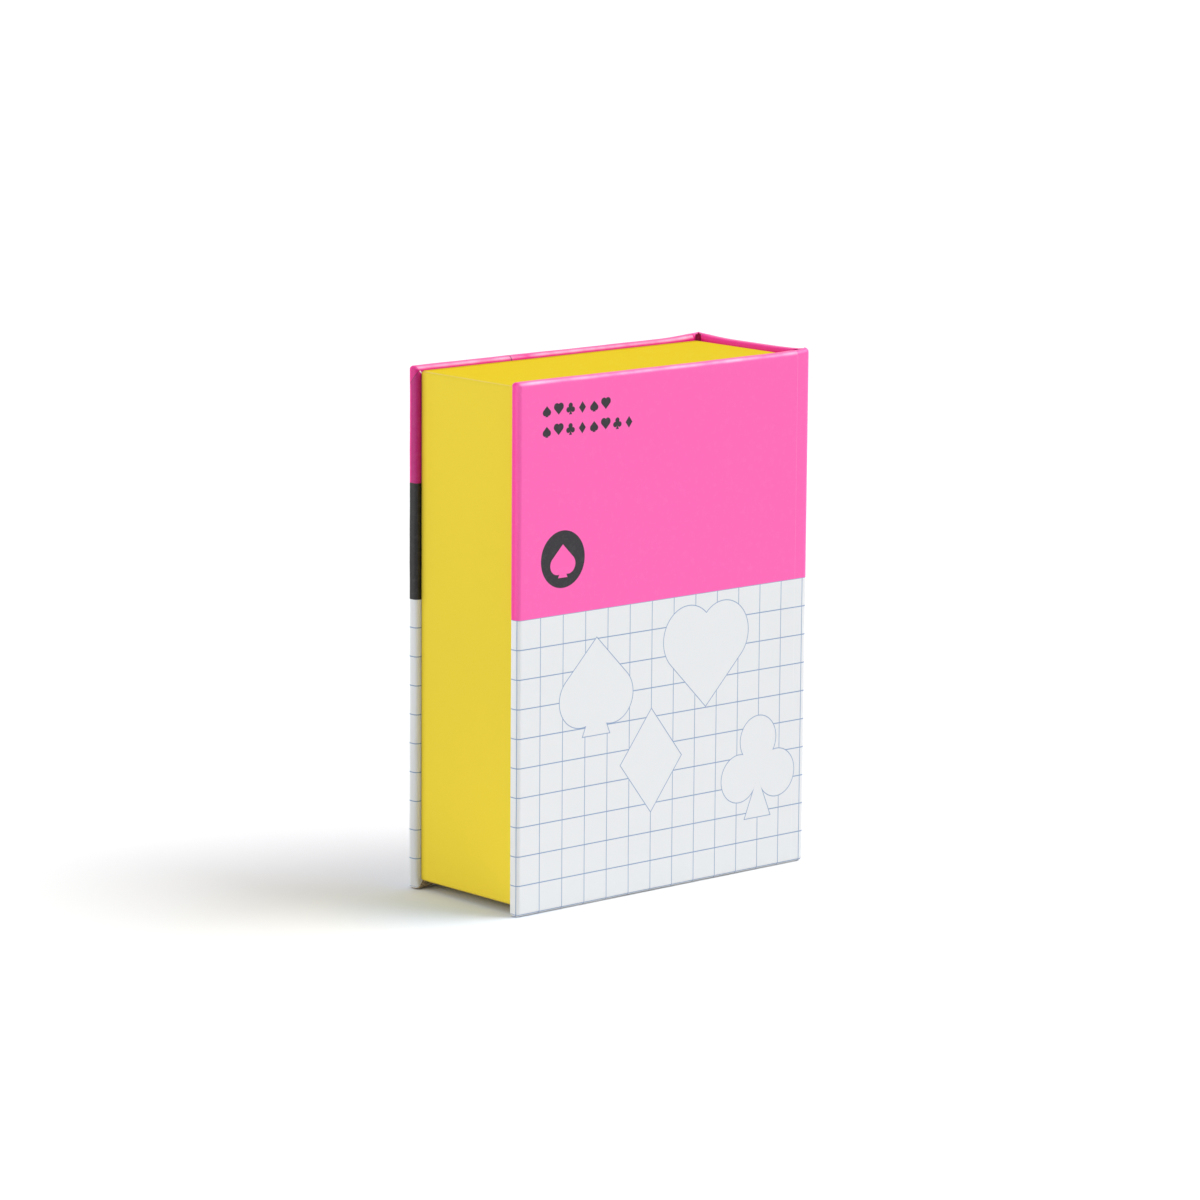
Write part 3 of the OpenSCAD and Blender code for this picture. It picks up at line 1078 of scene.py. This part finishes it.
# %% [markdown]
# ## Yellow tray paper
#
# The tray is covered with dyed paper that has no film. It is matt, its fibres show as soft mottling, and on
# the sharp corners the fold has cracked the dye into a thin pale line. The side that faces left is painted
# a lighter yellow as painted light, lighter still towards its foot. One flat yellow would do from afar.
# Close by it would look like plastic.

# %% Yellow paper material
YELLOW = linear(221, 193, 17)
# Painted light: the left side's yellow, and a lighter one for its foot.
SIDE_LIGHT_YELLOW = linear(234, 210, 65)
FOOT_LIGHT_YELLOW = linear(244, 219, 68)
CRACK = linear(236, 208, 136)
PALE_FIBRE = linear(250, 226, 110)
LIT_SIDE_SKIN, FOOT_LIGHT_REACH, CRACK_LINE = 0.3, 25, 0.18


def yellow_paper():
    """Matt yellow paper with fibres, a side painted lighter as painted light, most of all at its foot, and
    a worn line along the corners.
    """
    material, tree, shader = new_material("yellow_paper")
    fibres = grain(tree, 0.9, 5) * 0.5 + grain(tree, 0.2) * 0.5
    crack = mark(tree, "corner").below(CRACK_LINE, 0.03) * (grain(tree, 3.0, 3) * 1.4)
    x, _, z = axes(tree, own_place(tree))
    # Painted light: the left side is lighter, and lighter still towards its foot.
    lit_side = x.below((tray_low[0] + LIT_SIDE_SKIN) * MM, 0.1 * MM)
    side_light = lay(tree, z.below(FOOT_LIGHT_REACH * MM, FOOT_LIGHT_REACH * MM), SIDE_LIGHT_YELLOW, FOOT_LIGHT_YELLOW)
    colour = lay(tree, lit_side, YELLOW, side_light)
    colour = lay(tree, (fibres - 0.5).size() * 0.25, colour, PALE_FIBRE)
    colour = lay(tree, crack, colour, CRACK)
    tree.links.new(colour, shader.inputs["Base Color"])
    tree.links.new((fibres * 0.15 + 0.55).socket, shader.inputs["Roughness"])
    shader.inputs["Specular IOR Level"].default_value = 0.02
    emboss(tree, shader, fibres, 0.04, 0.35)
    return material


tray_material = yellow_paper()
tray_paper.data.materials.append(tray_material)
print("yellow paper", len(tray_material.node_tree.nodes), "nodes")

# %% [markdown]
# ## Plain papers and boards
#
# The liners are uncoated white paper, the tray's lining is yellow, and the boards are grey, pressed from
# waste paper, with dark and pale fibres. All keep their CAD shapes and only get a finish. That is enough
# for pieces that are mostly hidden.

# %% Liner, board and lining materials
def plain_stock(name, base, fleck, size_mm, amount, roughness):
    """Uncoated stock: a base colour, flecks of another, and a soft relief from the same fibres."""
    material, tree, shader = new_material(name)
    fibres = grain(tree, size_mm, 6)
    spots = (fibres * -1).below(-0.56, 0.06) * amount
    tree.links.new(lay(tree, spots, base, fleck), shader.inputs["Base Color"])
    tree.links.new((fibres * 0.2 + (roughness - 0.1)).socket, shader.inputs["Roughness"])
    shader.inputs["Specular IOR Level"].default_value = 0.25
    emboss(tree, shader, fibres, 0.05, 0.3)
    return material


liner_material = plain_stock("liner_paper", LINER, linear(226, 221, 211), 0.5, 0.3, 0.75)
board_material = plain_stock("grey_board", linear(150, 145, 138), linear(112, 106, 98), 0.5, 0.8, 0.9)


def dress(material, *nodes):
    """Gives CAD nodes a material."""
    for name in nodes:
        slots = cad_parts[name].data.materials
        slots.clear()
        slots.append(material)


dress(liner_material, "front_liner", "spine_liner", "back_liner")
dress(board_material, "front_board", "spine_board", "back_board", "tray_floor", "tray_head_wall",
      "tray_tail_wall", "tray_fore_wall", "tray_spine_wall")

lining_material = plain_stock("tray_lining", YELLOW, PALE_FIBRE, 0.9, 0.4, 0.7)
dress(lining_material, "tray_lining")
print("plain stocks", [m.name for m in (liner_material, board_material, lining_material)])

# %% [markdown]
# ## Cards
#
# Cards are white stock with a coated face. Their cut edges show as fine layers, with painted shade in the
# thin gaps between cards, and white noise, which has one value for each whole number, gives each card its
# own tone. The card on top of the deck lies with its back up, and the back has a white border and a
# lattice, as most decks do. Every card is a solid of the CAD model, so the edges need only colour.

# %% Card material
card_low, card_high = box_mm("spades")
card_mid = (card_low + card_high) / 2
CARD_COUNT = 52
CARD_PITCH = (box_mm("clubs")[1][1] - card_low[1]) / CARD_COUNT
BORDER, FRAME_OUT, FRAME_LINE = 3.4, 0.75, 0.2
LATTICE, LATTICE_LINE, DOT = 4.2, 0.32, 0.55
COAT = linear(244, 242, 238)
CUT_EDGE = linear(238, 233, 224)
CUT_TONE = linear(190, 181, 166)
GAP_SHADE = linear(150, 141, 128)
CUT_FIBRE = linear(205, 198, 186)


def card_stock():
    """Coated card: white, with a lattice inside a border on the faces and layers on the edges."""
    material, tree, shader = new_material("card_stock")
    origin = (card_mid[0], card_low[1], card_mid[2])
    x, deep, z = (axis * (1 / MM) - start for axis, start in zip(axes(tree, own_place(tree)), origin))
    half = (card_high - card_low) / 2 - BORDER
    frame_in = (x.size() - half[0]).most(z.size() - half[2])
    slant = math.sqrt(0.5)
    one, other = (x + z) * slant, (x - z) * slant
    lattice = one.to_nearest(LATTICE).least(other.to_nearest(LATTICE))
    dots = (one + LATTICE / 2).to_nearest(LATTICE).most((other + LATTICE / 2).to_nearest(LATTICE))
    printed = frame_in.below(0) * (lattice * -1).below(-LATTICE_LINE) * (dots * -1).below(-DOT)
    printed = printed.most((frame_in - FRAME_OUT).size().below(FRAME_LINE))
    colour = lay(tree, printed, COAT, PINK)

    normal = tree.nodes.new("ShaderNodeNewGeometry").outputs["Normal"]
    edge = axes(tree, normal)[1].size().below(0.5, 0.1)
    toss = tree.nodes.new("ShaderNodeTexWhiteNoise")
    toss.noise_dimensions = "1D"
    tree.links.new((deep * (1 / CARD_PITCH)).math("FLOOR").socket, toss.inputs["W"])
    tone = Field(tree, toss.outputs["Value"])
    # Painted shade: a darker line in the thin gap between each two cards.
    gap_shade = deep.to_nearest(CARD_PITCH).below(0.06, 0.05) * (grain(tree, 6.0, 3) * 0.9)
    fibres = grain(tree, 0.25, 4)
    colour = lay(tree, edge, colour, CUT_EDGE)
    colour = lay(tree, edge * tone * 0.5, colour, CUT_TONE)
    colour = lay(tree, edge * gap_shade, colour, GAP_SHADE)
    colour = lay(tree, edge * (fibres - 0.35).most(0.0), colour, CUT_FIBRE)
    tree.links.new(colour, shader.inputs["Base Color"])
    tree.links.new((edge * 0.3 + fibres * 0.1 + 0.32).socket, shader.inputs["Roughness"])
    shader.inputs["Specular IOR Level"].default_value = 0.45
    emboss(tree, shader, fibres, 0.02, 0.25)
    return material


card_material = card_stock()
dress(card_material, "clubs", "diamonds", "hearts", "spades")
print("cards", len(card_material.node_tree.nodes), "nodes")

# %% [markdown]
#
# Paper laid over a model must not make it larger. The box of the dressed model is set against the box of
# the CAD model, and how much it grew is printed.

visual_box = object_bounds()
grown = [(abs(v) - abs(c)) / MM for a, b in zip(visual_box, cad_box) for v, c in zip(a, b)]
print("box grew by mm", [round(g, 3) for g in grown])
